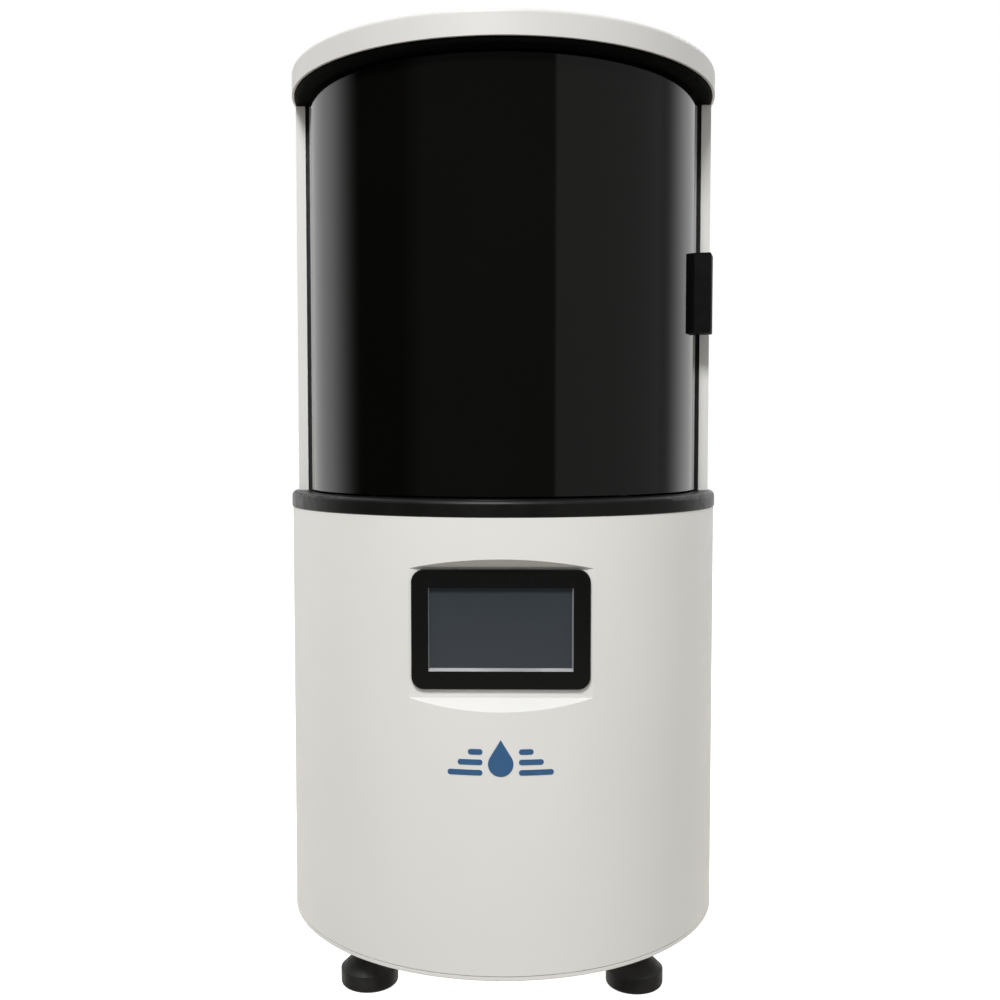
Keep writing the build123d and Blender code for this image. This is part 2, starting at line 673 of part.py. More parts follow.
with BuildPart() as lead_nut:
    with BuildSketch(Plane.XY.offset(CARRIAGE_MID - 12)):
        with Locations((0, (PLATE_Y1 + 117.3) / 2)):
            Rectangle(20, 117.3 - PLATE_Y1)
        with Locations((0, SCREW_Y)):
            Circle(BEARING_BORE + RUN, mode=Mode.SUBTRACT)
    extrude(amount=24)
write(lead_nut, "lead_nut")

ARM_TOP, ARM_BOTTOM = PLATFORM_Z + 62, PLATFORM_Z + 38
KNOB_SHAFT_R = 4.0
with BuildPart() as arm:
    with BuildSketch(Plane.YZ):
        with BuildLine():
            Polyline(
                (PLATE_Y0, CARRIAGE_Z0 + 2), (PLATE_Y0, CARRIAGE_Z1 - 2), (PLATE_Y0 - 8, CARRIAGE_Z1 - 2),
                (60, ARM_TOP), (-54, ARM_TOP), (-58, ARM_TOP - 4), (-58, ARM_BOTTOM), (56, ARM_BOTTOM),
                (PLATE_Y0 - 8, CARRIAGE_Z0 + 2), close=True,
            )
        make_face()
    extrude(amount=19, both=True)
    with BuildSketch(Plane.YZ):
        with Locations((52, PLATFORM_Z + 50), (26, PLATFORM_Z + 50)):
            Circle(7)
    extrude(amount=30, both=True, mode=Mode.SUBTRACT)
    with BuildSketch(Plane.XY.offset(ARM_BOTTOM)):
        with Locations((0, VAT_Y)):
            Circle(KNOB_SHAFT_R + RUN)
    extrude(amount=ARM_TOP - ARM_BOTTOM, mode=Mode.SUBTRACT)
write(arm, "platform_arm")

with BuildPart() as platform_mount:
    with BuildSketch(Plane.XY.offset(PLATFORM_Z + 28)):
        with Locations((0, VAT_Y)):
            RectangleRounded(78, 54, 4)
    extrude(amount=10)
    with BuildSketch(Plane.XY.offset(PLATFORM_Z + 38)):
        with Locations((0, VAT_Y)):
            Circle(KNOB_SHAFT_R + RUN)
    extrude(amount=-8, mode=Mode.SUBTRACT)
with BuildPart() as ball_joint:
    with Locations((0, VAT_Y, PLATFORM_Z + 21)):
        Sphere(9)
    with BuildSketch(Plane.XY.offset(PLATFORM_Z + 14)):
        with Locations((0, VAT_Y)):
            Circle(20)
    extrude(amount=14, mode=Mode.INTERSECT)

with BuildPart() as platform_clamp:
    add(platform_mount.part)
    add(ball_joint.part)
write(platform_clamp, "platform_clamp")

LEVEL_XY = [(x, VAT_Y + y) for x in (-30, 30) for y in (-19, 19)]
with BuildPart() as level_screws:
    with BuildSketch(Plane.XY.offset(PLATFORM_Z + 14)):
        with Locations(*LEVEL_XY):
            Circle(2)
    extrude(amount=14)
    with BuildSketch(Plane.XY.offset(PLATFORM_Z + 38)):
        with Locations(*LEVEL_XY):
            Circle(3.5)
            RegularPolygon(1.6, 6, mode=Mode.SUBTRACT)
    extrude(amount=4)

with BuildPart() as carriage_fasteners:
    add(carriage_screws.part)
    add(level_screws.part)
write(carriage_fasteners, "carriage_screws")

with BuildPart() as build_platform:
    with BuildSketch(Plane.XY.offset(PLATFORM_Z)):
        with Locations((0, VAT_Y)):
            RectangleRounded(132, 82, 4)
    extrude(amount=14)
    chamfer(build_platform.edges().group_by(Axis.Z)[-1], 3.5)
write(build_platform, "build_platform")

with BuildPart() as platform_knob:
    with BuildSketch(Plane.XY.offset(ARM_TOP + 0.3)):
        with Locations((0, VAT_Y)):
            Circle(17)
            with PolarLocations(19.5, 8):
                Circle(4.2, mode=Mode.SUBTRACT)
    extrude(amount=16)
    fillet(platform_knob.edges().group_by(Axis.Z)[-1], 1.2)
    with BuildSketch(Plane.XY.offset(ARM_BOTTOM - 6)):
        with Locations((0, VAT_Y)):
            Circle(KNOB_SHAFT_R)
    extrude(amount=ARM_TOP - ARM_BOTTOM + 7)
write(platform_knob, "platform_knob")

# ---------------------------------------------------------------- vat
VAT_W, VAT_D = 196.0, 146.0
VAT_OPEN = (160.0, 110.0)
VAT_LIP = 4.0  # depth of the pouring step round the rim
FILM_Z = DECK_TOP + 3.6
VAT_Z0, VAT_Z1 = FILM_Z + 0.4, 402.0
with BuildPart() as vat_frame:
    with BuildSketch(Plane.XY.offset(VAT_Z0)):
        with Locations((0, VAT_Y)):
            RectangleRounded(VAT_W, VAT_D, 14)
            RectangleRounded(*VAT_OPEN, 10, mode=Mode.SUBTRACT)
    extrude(amount=VAT_Z1 - VAT_Z0)
    chamfer(vat_frame.faces().sort_by(Axis.Z)[-1].outer_wire().edges(), 1)
    with BuildSketch(Plane.XY.offset(VAT_Z1)):
        with Locations((0, VAT_Y)):
            RectangleRounded(VAT_OPEN[0] + 14, VAT_OPEN[1] + 14, 14)
    extrude(amount=-VAT_LIP, mode=Mode.SUBTRACT)
write(vat_frame, "vat_frame")

with BuildPart() as vat_film:
    with BuildSketch(Plane.XY.offset(FILM_Z)):
        with Locations((0, VAT_Y)):
            RectangleRounded(VAT_W - 6, VAT_D - 6, 11)
    extrude(amount=VAT_Z0 - FILM_Z)
write(vat_film, "vat_film")

with BuildPart() as film_ring:
    with BuildSketch(Plane.XY.offset(DECK_TOP)):
        with Locations((0, VAT_Y)):
            RectangleRounded(VAT_W - 2, VAT_D - 2, 13)
            RectangleRounded(*VAT_OPEN, 10, mode=Mode.SUBTRACT)
    extrude(amount=FILM_Z - DECK_TOP)
write(film_ring, "vat_film_ring")

CLAMP_X0, CLAMP_X1 = VAT_W / 2 + 0.6, 124.0
KNOB_X = 112.0
with BuildPart() as vat_clamps:
    for side in (-1, 1):
        with BuildSketch(front_plane(0)):
            with BuildLine():
                Polyline(
                    (side * CLAMP_X0, DECK_TOP), (side * CLAMP_X1, DECK_TOP), (side * CLAMP_X1, VAT_Z1 + 7),
                    (side * (CLAMP_X0 - 8), VAT_Z1 + 7), (side * (CLAMP_X0 - 8), VAT_Z1 + 0.1),
                    (side * CLAMP_X0, VAT_Z1 + 0.1), close=True,
                )
            make_face()
        extrude(amount=60)
    with BuildSketch(Plane.XY.offset(VAT_Z1 + 7)):
        with Locations((-KNOB_X, VAT_Y), (KNOB_X, VAT_Y)):
            Circle(3 + RUN)
    extrude(amount=-22, mode=Mode.SUBTRACT)
write(vat_clamps, "vat_clamps")

for side, name in ((-1, "left"), (1, "right")):
    with BuildPart() as vat_knob:
        with BuildSketch(Plane.XY.offset(VAT_Z1 + 7.3)):
            with Locations((side * KNOB_X, VAT_Y)):
                Circle(11)
                with PolarLocations(11.6, 24):
                    Circle(1.1, mode=Mode.SUBTRACT)
        extrude(amount=13)
        with BuildSketch(Plane.XY.offset(VAT_Z1 - 13)):
            with Locations((side * KNOB_X, VAT_Y)):
                Circle(3)
        extrude(amount=21)
        with BuildSketch(Plane.XY.offset(VAT_Z1 + 20.3)):
            with Locations((side * KNOB_X, VAT_Y)):
                Circle(8)
        extrude(amount=1.6)
    write(vat_knob, f"vat_knob_{name}")

# ---------------------------------------------------------------- projector
PROJ_Z0, PROJ_Z1 = 90.0, 214.0
with BuildPart() as projector_shelf:
    with BuildSketch(Plane.XY.offset(PROJ_Z0 - 4)):
        with Locations((0, VAT_Y)):
            RectangleRounded(170, 140, 6)
    extrude(amount=4)
    with BuildSketch(Plane.XY.offset(SEAT_Z)):
        with Locations((0, VAT_Y)):
            with GridLocations(152, 122, 2, 2):
                Circle(5)
    extrude(amount=PROJ_Z0 - 4 - SEAT_Z)
write(projector_shelf, "projector_shelf")

with BuildPart() as projector_body:
    with BuildSketch(Plane.XY.offset(PROJ_Z0)):
        with Locations((0, VAT_Y)):
            RectangleRounded(124, 104, 8)
    extrude(amount=PROJ_Z1 - PROJ_Z0)
    fillet(projector_body.edges().group_by(Axis.Z)[-1], 4)
    for side in (-1, 1):
        with BuildSketch(Plane(origin=(side * 62, VAT_Y, 150), x_dir=(0, 1, 0), z_dir=(side, 0, 0))):
            with GridLocations(0, 8, 1, 10):
                SlotOverall(70, 4)
        extrude(amount=-5, mode=Mode.SUBTRACT)
write(projector_body, "projector_body")

LENS_R = 24.0
with BuildPart() as lens_barrel:
    with BuildSketch(Plane.XY.offset(PROJ_Z1)):
        with Locations((0, VAT_Y)):
            Circle(29)
    extrude(amount=24)
    with BuildSketch(Plane.XY.offset(PROJ_Z1 + 24)):
        with Locations((0, VAT_Y)):
            Circle(LENS_R)
    extrude(amount=40)
    with BuildSketch(Plane.XY.offset(PROJ_Z1 + 64)):
        with Locations((0, VAT_Y)):
            Circle(19)
    extrude(amount=-14, mode=Mode.SUBTRACT)

with BuildPart() as focus_ring:
    with BuildSketch(Plane.XY.offset(PROJ_Z1 + 24.5)):
        with Locations((0, VAT_Y)):
            Circle(30)
            with PolarLocations(30, 40):
                Circle(0.9, mode=Mode.SUBTRACT)
            Circle(LENS_R - 1, mode=Mode.SUBTRACT)
    extrude(amount=17)

with BuildPart() as projector_lens:
    add(lens_barrel.part)
    add(focus_ring.part)
write(projector_lens, "projector_lens")

LENS_CURVE_R = 40.0
with BuildPart() as lens_glass:
    with BuildSketch(Plane.XY.offset(PROJ_Z1 + 50)):
        with Locations((0, VAT_Y)):
            Circle(18.9)
    extrude(amount=12)
    with Locations((0, VAT_Y, PROJ_Z1 + 57 - LENS_CURVE_R)):
        Sphere(LENS_CURVE_R, mode=Mode.INTERSECT)
write(lens_glass, "lens_glass")

# ---------------------------------------------------------------- electronics
SUPPLY_H = 38.0
with BuildPart() as power_supply:
    with BuildSketch(Plane.XY.offset(SEAT_Z)):
        with Locations((0, 40)):
            Rectangle(122, 96)
    extrude(amount=SUPPLY_H)
    with BuildSketch(Plane.XY.offset(SEAT_Z + SUPPLY_H)):
        with Locations((0, 46)):
            with HexLocations(4.5, 10, 7):
                Circle(2.2)
    extrude(amount=-1.5, mode=Mode.SUBTRACT)
    with BuildSketch(Plane.XY.offset(SEAT_Z + 8)):
        with Locations((0, -2)):
            Rectangle(100, 12)
    extrude(amount=30, mode=Mode.SUBTRACT)
write(power_supply, "power_supply")

BOARD_Y, BOARD_Z = -84.0, SEAT_Z + 9
with BuildPart() as control_board:
    with BuildSketch(Plane.XY.offset(BOARD_Z)):
        with Locations((0, BOARD_Y)):
            Rectangle(126, 72)
    extrude(amount=1.6)
    with BuildSketch(Plane.XY.offset(BOARD_Z + 1.6)):
        with Locations((-20, BOARD_Y)):
            Rectangle(20, 20)
        with Locations((22, BOARD_Y + 14), (22, BOARD_Y - 14), (40, BOARD_Y)):
            Rectangle(10, 14)
        with Locations((-50, BOARD_Y)):
            Rectangle(8, 50)
    extrude(amount=3)

with BuildPart() as circuit_boards:
    add(control_board.part)
    add(display_board.part)
write(circuit_boards, "circuit_boards")

with BuildPart() as board_standoffs:
    with BuildSketch(Plane.XY.offset(SEAT_Z)):
        with Locations((0, BOARD_Y)):
            with GridLocations(116, 62, 2, 2):
                Circle(3)
    extrude(amount=BOARD_Z - SEAT_Z)

with BuildPart() as posts_and_spacers:
    add(frame_posts.part)
    add(board_standoffs.part)
    add(display_spacers.part)
    add(motor_standoffs.part)
write(posts_and_spacers, "posts_and_spacers")

# ---------------------------------------------------------------- rear panel
PANEL_Y0, PANEL_Y1 = 157.0, 159.0
FAN_Z = 222.0
FAN_BORE = 38.2
FAN_HOLES = 71.5  # screw spacing of an 80 mm fan
INLET_Z = 104.0
INLET_SIZE = (50.0, 25.0)
USB_X, USB_Z = 24.0, 152.0
with BuildPart() as rear_panel:
    with BuildSketch(back_plane(PANEL_Y0, 0, REAR_MID_Z)):
        Rectangle(107, 222)
        with Locations((0, FAN_Z - REAR_MID_Z)):
            Circle(FAN_BORE, mode=Mode.SUBTRACT)
            with GridLocations(FAN_HOLES, FAN_HOLES, 2, 2):
                Circle(2.2, mode=Mode.SUBTRACT)
        with Locations((0, INLET_Z - REAR_MID_Z)):
            Rectangle(INLET_SIZE[0] + 0.4, INLET_SIZE[1] + 0.4, mode=Mode.SUBTRACT)
        with Locations((-USB_X, USB_Z - REAR_MID_Z)):
            Rectangle(14.4, 7.4, mode=Mode.SUBTRACT)
    extrude(amount=PANEL_Y1 - PANEL_Y0)
write(rear_panel, "rear_panel")

with BuildPart() as fan_frame:
    with BuildSketch(front_plane(PANEL_Y0, 0, FAN_Z)):
        RectangleRounded(80, 80, 4)
        Circle(FAN_BORE, mode=Mode.SUBTRACT)
        with GridLocations(FAN_HOLES, FAN_HOLES, 2, 2):
            Circle(2.2, mode=Mode.SUBTRACT)
    extrude(amount=25)
    with BuildSketch(front_plane(PANEL_Y0 - 23, 0, FAN_Z)):
        Circle(15)
        for angle in (45, 135):
            Rectangle(2 * FAN_BORE + 2, 3, rotation=angle)
    extrude(amount=2)
write(fan_frame, "fan_frame")

BLADES = 7
BLADE_PITCH = radians(38)
HUB_R = 15.0
with BuildPart() as fan_rotor:
    with BuildSketch(front_plane(PANEL_Y0 - 3, 0, FAN_Z)):
        Circle(HUB_R)
    extrude(amount=19)
    fillet(fan_rotor.edges().group_by(Axis.Y)[-1], 1.5)
    for blade in range(BLADES):
        turn = 2 * pi / BLADES * blade
        blade_plane = Plane(
            origin=(0, PANEL_Y0 - 12.5, FAN_Z),
            x_dir=(-sin(turn) * sin(BLADE_PITCH), cos(BLADE_PITCH), cos(turn) * sin(BLADE_PITCH)),
            z_dir=(cos(turn), 0, sin(turn)),
        )
        with BuildSketch(blade_plane.offset(HUB_R - 1)):
            Rectangle(20, 1.6)
        extrude(amount=22)
write(fan_rotor, "fan_rotor")

with BuildPart() as fan_guard:
    guard_plane = back_plane(PANEL_Y1 + 0.2, 0, FAN_Z)
    for radius in (9, 19, 29, 39):
        with BuildSketch(guard_plane):
            Circle(radius + 0.9)
            Circle(radius - 0.9, mode=Mode.SUBTRACT)
        extrude(amount=1.6)
    with BuildSketch(guard_plane):
        for angle in (45, 135):
            Rectangle(101, 1.8, rotation=angle)
        with GridLocations(FAN_HOLES, FAN_HOLES, 2, 2):
            Circle(4)
        with GridLocations(FAN_HOLES, FAN_HOLES, 2, 2):
            Circle(2.2, mode=Mode.SUBTRACT)
    extrude(amount=1.6)
write(fan_guard, "fan_guard")

with BuildPart() as fan_screws:
    with BuildSketch(back_plane(PANEL_Y1 + 1.8, 0, FAN_Z)):
        with GridLocations(FAN_HOLES, FAN_HOLES, 2, 2):
            Circle(3.6)
    extrude(amount=1.6)
    with BuildSketch(back_plane(PANEL_Y1 + 1.8, 0, FAN_Z)):
        with GridLocations(FAN_HOLES, FAN_HOLES, 2, 2):
            Circle(1.9)
    extrude(amount=-24)
    with BuildSketch(back_plane(PANEL_Y1 + 3.4, 0, FAN_Z)):
        with GridLocations(FAN_HOLES, FAN_HOLES, 2, 2):
            RegularPolygon(1.5, 6)
    extrude(amount=-1.2, mode=Mode.SUBTRACT)

with BuildPart() as body_fasteners:
    add(lock_nuts.part)
    add(deck_screws.part)
    add(fan_screws.part)
write(body_fasteners, "body_fasteners")

SOCKET_X, ROCKER_X = 11.0, -16.5
ROCKER_PIVOT_Y = PANEL_Y1 - 1.0
ROCKER_REST = radians(-10)
ROCKER_PIN_R = 1.2
rocker_axis = Plane(
    origin=(ROCKER_X, ROCKER_PIVOT_Y, INLET_Z),
    x_dir=(0, cos(ROCKER_REST), sin(ROCKER_REST)),
    z_dir=(1, 0, 0),
)
with BuildPart() as power_inlet:
    with BuildSketch(back_plane(PANEL_Y0 - 20, 0, INLET_Z)):
        Rectangle(*INLET_SIZE)
    extrude(amount=20 + PANEL_Y1 - PANEL_Y0)
    with BuildSketch(back_plane(PANEL_Y1, 0, INLET_Z)):
        RectangleRounded(58, 31, 3)
    extrude(amount=2)
    with BuildSketch(back_plane(PANEL_Y1 + 2, 0, INLET_Z)):
        with Locations((-SOCKET_X, 0)):
            Rectangle(24, 17)
    extrude(amount=-17, mode=Mode.SUBTRACT)
    with BuildSketch(back_plane(PANEL_Y1 + 2, 0, INLET_Z)):
        with Locations((-ROCKER_X, 0)):
            Rectangle(13.6, 21)
    extrude(amount=-12, mode=Mode.SUBTRACT)
    with BuildSketch(rocker_axis):
        Circle(ROCKER_PIN_R + RUN)
    extrude(amount=8.2, both=True, mode=Mode.SUBTRACT)
    with BuildSketch(back_plane(PANEL_Y1 - 16, 0, INLET_Z)):
        with Locations((-SOCKET_X - 7, 1.5), (-SOCKET_X, -2.5), (-SOCKET_X + 7, 1.5)):
            Rectangle(2, 4)
    extrude(amount=14)
write(power_inlet, "power_inlet")

with BuildPart() as power_rocker:
    with BuildSketch(rocker_axis):
        with BuildLine():
            Polyline((4.8, 9.2), (3.0, 0), (4.8, -9.2), (-2, -9.2), (-6.5, 0), (-2, 9.2), close=True)
        make_face()
    extrude(amount=6.4, both=True)
    with BuildSketch(rocker_axis):
        Circle(ROCKER_PIN_R)
    extrude(amount=8, both=True)
write(power_rocker, "power_rocker")

with BuildPart() as usb_port:
    with BuildSketch(back_plane(PANEL_Y0 - 14, USB_X, USB_Z)):
        Rectangle(14, 7)
    extrude(amount=16.6)
    with BuildSketch(back_plane(PANEL_Y0 + 2.6, USB_X, USB_Z)):
        Rectangle(12.6, 5.2)
    extrude(amount=-12, mode=Mode.SUBTRACT)
    with BuildSketch(back_plane(PANEL_Y0 - 9.4, USB_X, USB_Z - 1)):
        Rectangle(11, 1.8)
    extrude(amount=9)
write(usb_port, "usb_port")

# ---------------------------------------------------------------- leads held inside the body
def lead(points, bend, radius):
    """A round lead along straight runs joined by tangent arcs."""
    with BuildPart() as cable:
        with BuildLine():
            run = FilletPolyline(*points, radius=bend)
        with BuildSketch(Plane(origin=run @ 0, z_dir=run % 0)):
            Circle(radius)
        sweep()
    return cable.part


RIBBON_W, RIBBON_T = 24.0, 0.8
with BuildPart() as display_ribbon:
    with BuildSketch(Plane.YZ):
        with BuildLine():
            FilletPolyline((-145.4, 249), (-136, 236), (-134, 90), (-122, 58), (-100, 54), radius=8)
        trace(line_width=RIBBON_T)
    extrude(amount=RIBBON_W / 2, both=True)

with BuildPart() as internal_leads:
    add(display_ribbon.part)
    add(lead(
        [(0, 89.9, 270), (0, 78, 268), (-30, 66, 240), (-74, 52, 190), (-92, 40, 120), (-92, 12, 62),
         (-70, -52, 60), (-52, -62, 60)],
        12, 2.5,
    ))
    add(lead([(30, 88.2, 62), (30, 104, 62), (30, 118, 84), (20, 124, 103), (20, 136.9, 103)], 6, 3.0))
write(internal_leads, "internal_leads")
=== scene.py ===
import math

import bmesh
import bpy
from mathutils import Matrix, Vector


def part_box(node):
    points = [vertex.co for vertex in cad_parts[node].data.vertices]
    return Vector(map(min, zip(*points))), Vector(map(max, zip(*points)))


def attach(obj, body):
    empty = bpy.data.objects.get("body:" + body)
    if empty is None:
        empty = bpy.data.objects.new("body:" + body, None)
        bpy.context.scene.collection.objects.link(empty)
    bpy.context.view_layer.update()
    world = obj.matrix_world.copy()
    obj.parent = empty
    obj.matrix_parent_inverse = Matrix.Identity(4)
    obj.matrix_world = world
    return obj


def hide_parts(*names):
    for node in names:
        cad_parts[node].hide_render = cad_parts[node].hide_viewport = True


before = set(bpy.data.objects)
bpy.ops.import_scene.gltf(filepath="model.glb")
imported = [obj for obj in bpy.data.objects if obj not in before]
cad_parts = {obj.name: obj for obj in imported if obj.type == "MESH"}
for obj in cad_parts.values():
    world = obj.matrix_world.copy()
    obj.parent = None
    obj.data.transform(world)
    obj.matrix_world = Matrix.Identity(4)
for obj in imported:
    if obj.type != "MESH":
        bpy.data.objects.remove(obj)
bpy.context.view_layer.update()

# Looks for a cylindrical resin printer. Everything is in metres, +Z up, with the front at -Y.
MM = 0.001


def corners(node):
    """A CAD node's lowest and highest corners, and its middle."""
    low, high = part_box(node)
    return low, high, (low + high) / 2


# ---------------------------------------------------------------- materials
class Finish:
    """A Principled material whose colour, roughness and relief come from procedural nodes."""

    def __init__(self, name, color, roughness, metallic=0.0, **sockets):
        self.material = bpy.data.materials.new(name)
        self.material.use_nodes = True
        self.material.diffuse_color = (*color, 1.0)
        self.tree = self.material.node_tree
        self.surface = self.tree.nodes["Principled BSDF"]
        self.surface.inputs["Base Color"].default_value = (*color, 1.0)
        self.surface.inputs["Roughness"].default_value = roughness
        self.surface.inputs["Metallic"].default_value = metallic
        for socket, value in sockets.items():
            self.surface.inputs[socket.replace("_", " ")].default_value = value
        self.coordinates = self.tree.nodes.new("ShaderNodeTexCoord").outputs["Object"]

    def link(self, source, target):
        self.tree.links.new(source, target)

    def placed(self, stretch=(1, 1, 1), turn=(0, 0, 0)):
        """Object coordinates, stretched and turned."""
        mapping = self.tree.nodes.new("ShaderNodeMapping")
        mapping.inputs["Scale"].default_value = stretch
        mapping.inputs["Rotation"].default_value = turn
        self.link(self.coordinates, mapping.inputs["Vector"])
        return mapping.outputs["Vector"]

    def noise(self, scale, detail=2.0, stretch=(1, 1, 1), rough=0.5):
        node = self.tree.nodes.new("ShaderNodeTexNoise")
        node.inputs["Scale"].default_value = scale
        node.inputs["Detail"].default_value = detail
        node.inputs["Roughness"].default_value = rough
        self.link(self.placed(stretch), node.inputs["Vector"])
        return node.outputs["Fac"]

    def cells(self, scale, stretch=(1, 1, 1)):
        node = self.tree.nodes.new("ShaderNodeTexVoronoi")
        node.inputs["Scale"].default_value = scale
        self.link(self.placed(stretch), node.inputs["Vector"])
        return node.outputs["Distance"]

    def bands(self, scale, direction="Z", distortion=0.0):
        node = self.tree.nodes.new("ShaderNodeTexWave")
        node.bands_direction = direction
        node.inputs["Scale"].default_value = scale
        node.inputs["Distortion"].default_value = distortion
        self.link(self.coordinates, node.inputs["Vector"])
        return node.outputs["Fac"]

    def axis(self, name):
        """One of the object coordinates as a value."""
        node = self.tree.nodes.new("ShaderNodeSeparateXYZ")
        self.link(self.coordinates, node.inputs["Vector"])
        return node.outputs[name]

    def spread(self, value, low, high, to_low=0.0, to_high=1.0, smooth=False):
        """Maps low..high to to_low..to_high, clamped."""
        node = self.tree.nodes.new("ShaderNodeMapRange")
        if smooth:
            node.interpolation_type = "SMOOTHSTEP"
        node.inputs["From Min"].default_value = low
        node.inputs["From Max"].default_value = high
        node.inputs["To Min"].default_value = to_low
        node.inputs["To Max"].default_value = to_high
        self.link(value, node.inputs["Value"])
        return node.outputs["Result"]

    def sum(self, a, b, operation="ADD"):
        node = self.tree.nodes.new("ShaderNodeMath")
        node.operation = operation
        self.link(a, node.inputs[0])
        if isinstance(b, float):
            node.inputs[1].default_value = b
        else:
            self.link(b, node.inputs[1])
        return node.outputs["Value"]

    def between(self, value, color_a, color_b):
        node = self.tree.nodes.new("ShaderNodeMix")
        node.data_type = "RGBA"
        for socket, color in (("A", color_a), ("B", color_b)):
            target = [i for i in node.inputs if i.name == socket and i.type == "RGBA"][0]
            if isinstance(color, tuple):
                target.default_value = (*color, 1.0)
            else:
                self.link(color, target)
        self.link(value, node.inputs["Factor"])
        return [o for o in node.outputs if o.type == "RGBA"][0]

    def color(self, source):
        self.link(source, self.surface.inputs["Base Color"])
        return self

    def roughness(self, source):
        self.link(source, self.surface.inputs["Roughness"])
        return self

    def relief(self, height, depth, strength=1.0):
        """Adds a bump of this depth in metres on top of the ones before it."""
        node = self.tree.nodes.new("ShaderNodeBump")
        node.inputs["Strength"].default_value = strength
        node.inputs["Distance"].default_value = depth
        self.link(height, node.inputs["Height"])
        normal = self.surface.inputs["Normal"]
        if normal.is_linked:
            self.link(normal.links[0].from_socket, node.inputs["Normal"])
        self.link(node.outputs["Normal"], normal)
        return self


def shade(color, factor):
    """A colour made darker or lighter, and kept within 1."""
    return tuple(min(1.0, c * factor) for c in color)


def powder_coat(name, color, grime=0.97):
    """Fine-textured powder coat with faint unevenness and specks."""
    f = Finish(name, color, 0.42, Coat_Weight=0.12, Coat_Roughness=0.3)
    cloud = f.spread(f.noise(9, 3), 0.3, 0.7)
    tone = f.between(cloud, shade(color, grime), color)
    speck = f.spread(f.noise(420, 1), 0.62, 0.75)
    f.color(f.between(speck, tone, shade(color, 0.985)))
    f.roughness(f.spread(f.noise(60, 3), 0.3, 0.7, 0.36, 0.5))
    f.relief(f.noise(900, 1), 0.00003, 0.5)
    f.relief(f.noise(35, 2), 0.00008, 0.25)
    return f.material


def fine_grain(name, color, roughness, grain=1400, metallic=0.0, gloss=0.5):
    """Blasted, anodised or moulded surface with a fine grain."""
    f = Finish(name, color, roughness, metallic, Specular_IOR_Level=gloss)
    f.color(f.between(f.spread(f.noise(25, 4), 0.35, 0.7), color, shade(color, 1.5)))
    f.roughness(f.spread(f.noise(110, 3), 0.3, 0.7, roughness - 0.06, roughness + 0.08))
    f.relief(f.noise(grain, 2), 0.00002, 0.6)
    return f.material


def gloss_black(name, color, roughness, dust=0.06, **sockets):
    """Polished black with a breath of dust and wiping marks in its gloss."""
    f = Finish(name, color, roughness, Specular_IOR_Level=0.5, **sockets)
    marks = f.sum(f.noise(14, 5, (1, 1, 0.25)), f.noise(260, 2), "MULTIPLY")
    f.roughness(f.spread(marks, 0.12, 0.42, roughness, roughness + dust))
    f.color(f.between(f.spread(f.noise(6, 3), 0.3, 0.7), color, shade(color, 1.25)))
    return f.material


def brushed_metal(name, color, roughness, direction="X", metallic=1.0):
    """Metal with fine drawn lines along one axis."""
    stretch = {"X": (0.02, 1, 1), "Y": (1, 0.02, 1), "Z": (1, 1, 0.02)}[direction]
    f = Finish(name, color, roughness, metallic)
    lines = f.noise(4200, 1, stretch)
    f.color(f.between(f.spread(lines, 0.3, 0.7), shade(color, 0.93), color))
    f.roughness(f.spread(f.noise(40, 3), 0.25, 0.75, roughness - 0.03, roughness + 0.05))
    f.relief(lines, 0.000004, 0.5)
    return f.material


def anodised(name, color, roughness):
    """Dyed aluminium with an even, finely blasted surface."""
    f = Finish(name, color, roughness, 0.85)
    f.color(f.between(f.spread(f.noise(30, 3), 0.3, 0.7), shade(color, 0.92), color))
    f.roughness(f.spread(f.noise(90, 3), 0.3, 0.7, roughness - 0.03, roughness + 0.05))
    f.relief(f.noise(2200, 2), 0.000012, 0.5)
    return f.material


def cast_or_sheet(name, color, roughness, scale=140):
    """Galvanised sheet with soft spangle."""
    f = Finish(name, color, roughness, 1.0)
    spangle = f.cells(scale)
    f.color(f.between(f.spread(spangle, 0.1, 0.8), shade(color, 0.8), color))
    f.roughness(f.spread(spangle, 0.0, 0.9, roughness - 0.08, roughness + 0.1))
    return f.material


def moulded_rubber(name, color):
    """Matt rubber with a fine moulded grain."""
    f = Finish(name, color, 0.62, Specular_IOR_Level=0.4)
    f.color(f.between(f.spread(f.noise(70, 4), 0.35, 0.75), color, shade(color, 2.2)))
    f.roughness(f.spread(f.noise(300, 3), 0.3, 0.7, 0.5, 0.72))
    f.relief(f.noise(1100, 2), 0.00003, 0.6)
    return f.material


def clear_sheet(name, color, alpha, roughness=0.02):
    """Clear glass or film with faint smears in its gloss."""
    f = Finish(name, color, roughness, Transmission_Weight=1.0, IOR=1.47, Alpha=alpha)
    f.roughness(f.spread(f.noise(90, 3), 0.4, 0.8, roughness, roughness + 0.04))
    return f.material


def unlit_panel(name):
    """The grey of an unlit display under its cover, with painted shade that darkens it towards the top, and
    the faintest pixel lines.
    """
    low, high, _ = corners("lcd_glass")
    f = Finish(name, (0.045, 0.055, 0.066), 0.16, Specular_IOR_Level=0.35)
    # painted shade: the colour runs from a lighter grey at the glass's bottom edge to a darker grey at its
    # top
    height = f.spread(f.axis("Z"), low.z, high.z)
    base = f.between(height, (0.048, 0.055, 0.063), (0.036, 0.044, 0.053))
    haze = f.spread(f.noise(18, 4), 0.35, 0.7)
    f.color(f.between(f.sum(haze, 0.25, "MULTIPLY"), base, (0.052, 0.062, 0.075)))
    f.relief(f.bands(1500, "X"), 0.000004, 0.3)
    return f.material


def printed_ink(name, color):
    """Screen-printed ink, a little uneven."""
    f = Finish(name, color, 0.34)
    f.color(f.between(f.spread(f.noise(120, 3), 0.3, 0.7), shade(color, 0.92), shade(color, 1.06)))
    f.relief(f.noise(900, 2), 0.00001, 0.4)
    return f.material


